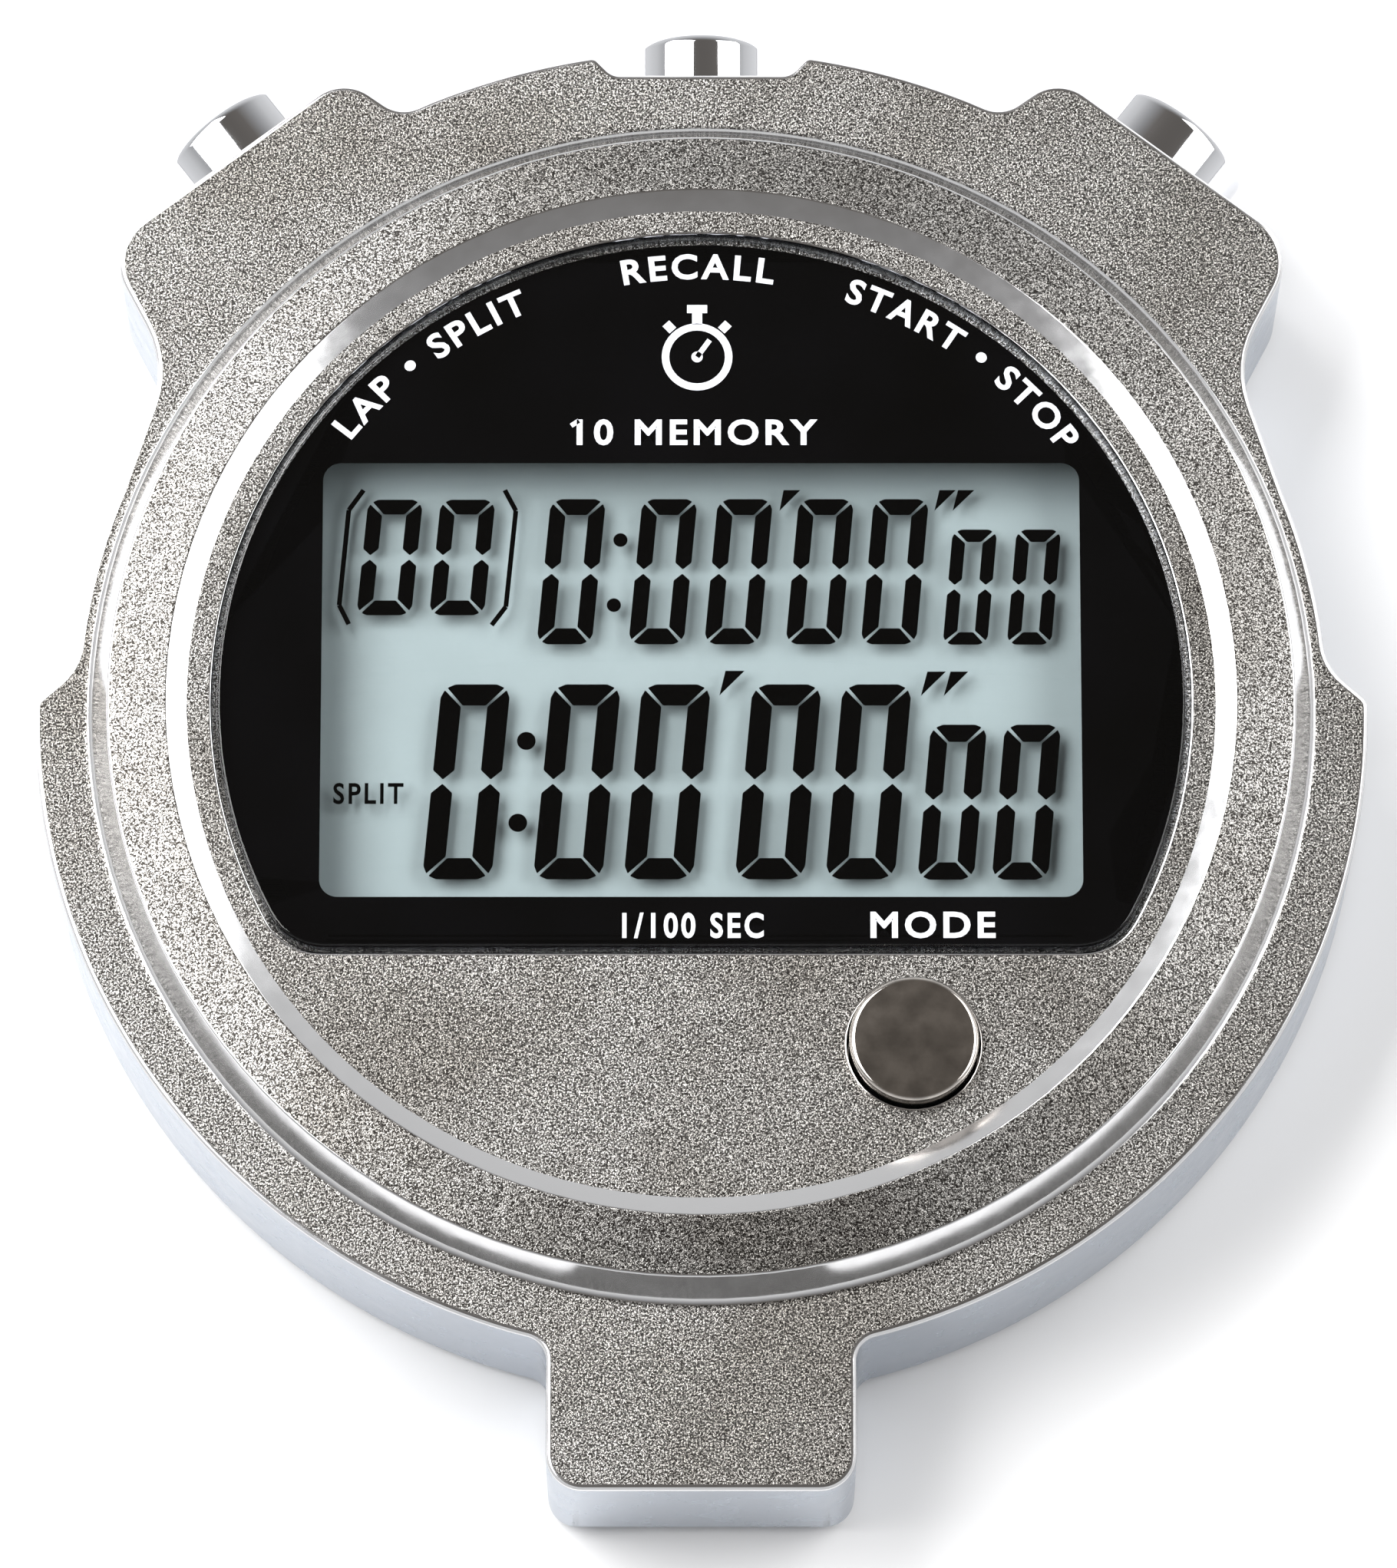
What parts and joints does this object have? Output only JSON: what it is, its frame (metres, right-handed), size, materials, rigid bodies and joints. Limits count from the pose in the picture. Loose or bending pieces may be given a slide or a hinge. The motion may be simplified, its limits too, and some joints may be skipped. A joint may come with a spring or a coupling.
{
  "type": "digital stopwatch",
  "caption": "Handheld digital stopwatch: satin chrome die-cast case with lanyard tab, D-shaped window over a liquid-crystal display, sprung side pushers and a face button.",
  "frame": {"origin": "on the dial's axis, at the outer face of the back cover", "axes": "+Z out of the dial, +Y towards the recall pusher, +X to the right as the display is read"},
  "size_m": [0.0654, 0.0751, 0.0127],
  "materials": {
    "case_chrome": "pearl satin chrome on die-cast zinc",
    "button_chrome": "polished chrome",
    "window_acrylic": "clear glossy acrylic",
    "mask_print": "black printed film seen through the window",
    "black_rubber": "matte",
    "spring_steel": "drawn wire and spring strip",
    "contact_brass": "rolled",
    "display_film": "grey-green polariser",
    "display_glass": "clear",
    "reflector_foil": "satin",
    "frame_plastic": "moulded",
    "board_laminate": "green solder mask",
    "screw_steel": "nickel plated",
    "chip_resin": "cast resin",
    "can_nickel": "drawn and plated",
    "capacitor_ceramic": "fired",
    "insulating_film": "amber film",
    "cover_steel": "satin stainless steel"
  },
  "bodies": {
    "case": {"front_case": "case_chrome", "lens": "window_acrylic", "lens_mask": "mask_print", "lens_adhesive": "black_rubber", "mode_seal": "black_rubber", "mode_spring": "spring_steel", "mode_contact": "contact_brass", "lap_bush": "contact_brass", "lap_spring": "spring_steel", "lap_switch_leaf": "contact_brass", "recall_bush": "contact_brass", "recall_spring": "spring_steel", "recall_switch_leaf": "contact_brass", "start_bush": "contact_brass", "start_spring": "spring_steel", "start_switch_leaf": "contact_brass", "display_front_polariser": "display_film", "display_front_glass": "display_glass", "display_rear_glass": "display_glass", "display_reflector": "reflector_foil", "display_frame": "frame_plastic", "upper_zebra_strip": "black_rubber", "lower_zebra_strip": "black_rubber", "circuit_board": "board_laminate", "board_screws": "screw_steel", "chip_cover": "chip_resin", "crystal": "can_nickel", "chip_capacitors": "capacitor_ceramic", "coin_cell": "can_nickel", "cell_clip": "spring_steel", "cell_contact": "contact_brass", "cell_insulator": "insulating_film", "buzzer_plate": "contact_brass", "buzzer_ceramic": "capacitor_ceramic", "buzzer_springs": "spring_steel", "lanyard_bar": "button_chrome", "cover_gasket": "black_rubber", "back_cover": "cover_steel", "cover_screws": "screw_steel"},
    "lap": {"lap_pusher": "button_chrome", "lap_o_ring": "black_rubber", "lap_retaining_clip": "spring_steel"},
    "recall": {"recall_pusher": "button_chrome", "recall_o_ring": "black_rubber", "recall_retaining_clip": "spring_steel"},
    "start": {"start_pusher": "button_chrome", "start_o_ring": "black_rubber", "start_retaining_clip": "spring_steel"},
    "mode": {"mode_button": "button_chrome"}
  },
  "joints": [
    {"name": "lap_press", "type": "slide", "parent": "case", "child": "lap", "axis": [0.6088, -0.7934, 0], "range_m": [0, 0.001], "stiffness_N_per_m": 500, "springref_m": -0.001, "deforming": ["lap_spring"]},
    {"name": "recall_press", "type": "slide", "parent": "case", "child": "recall", "axis": [0, -1, 0], "range_m": [0, 0.001], "stiffness_N_per_m": 500, "springref_m": -0.001, "deforming": ["recall_spring"]},
    {"name": "start_press", "type": "slide", "parent": "case", "child": "start", "axis": [-0.6088, -0.7934, 0], "range_m": [0, 0.001], "stiffness_N_per_m": 500, "springref_m": -0.001, "deforming": ["start_spring"]},
    {"name": "mode_press", "type": "slide", "parent": "case", "child": "mode", "axis": [0, 0, -1], "range_m": [0, 0.0008], "stiffness_N_per_m": 400, "springref_m": -0.001, "deforming": ["mode_spring"]}
  ]
}
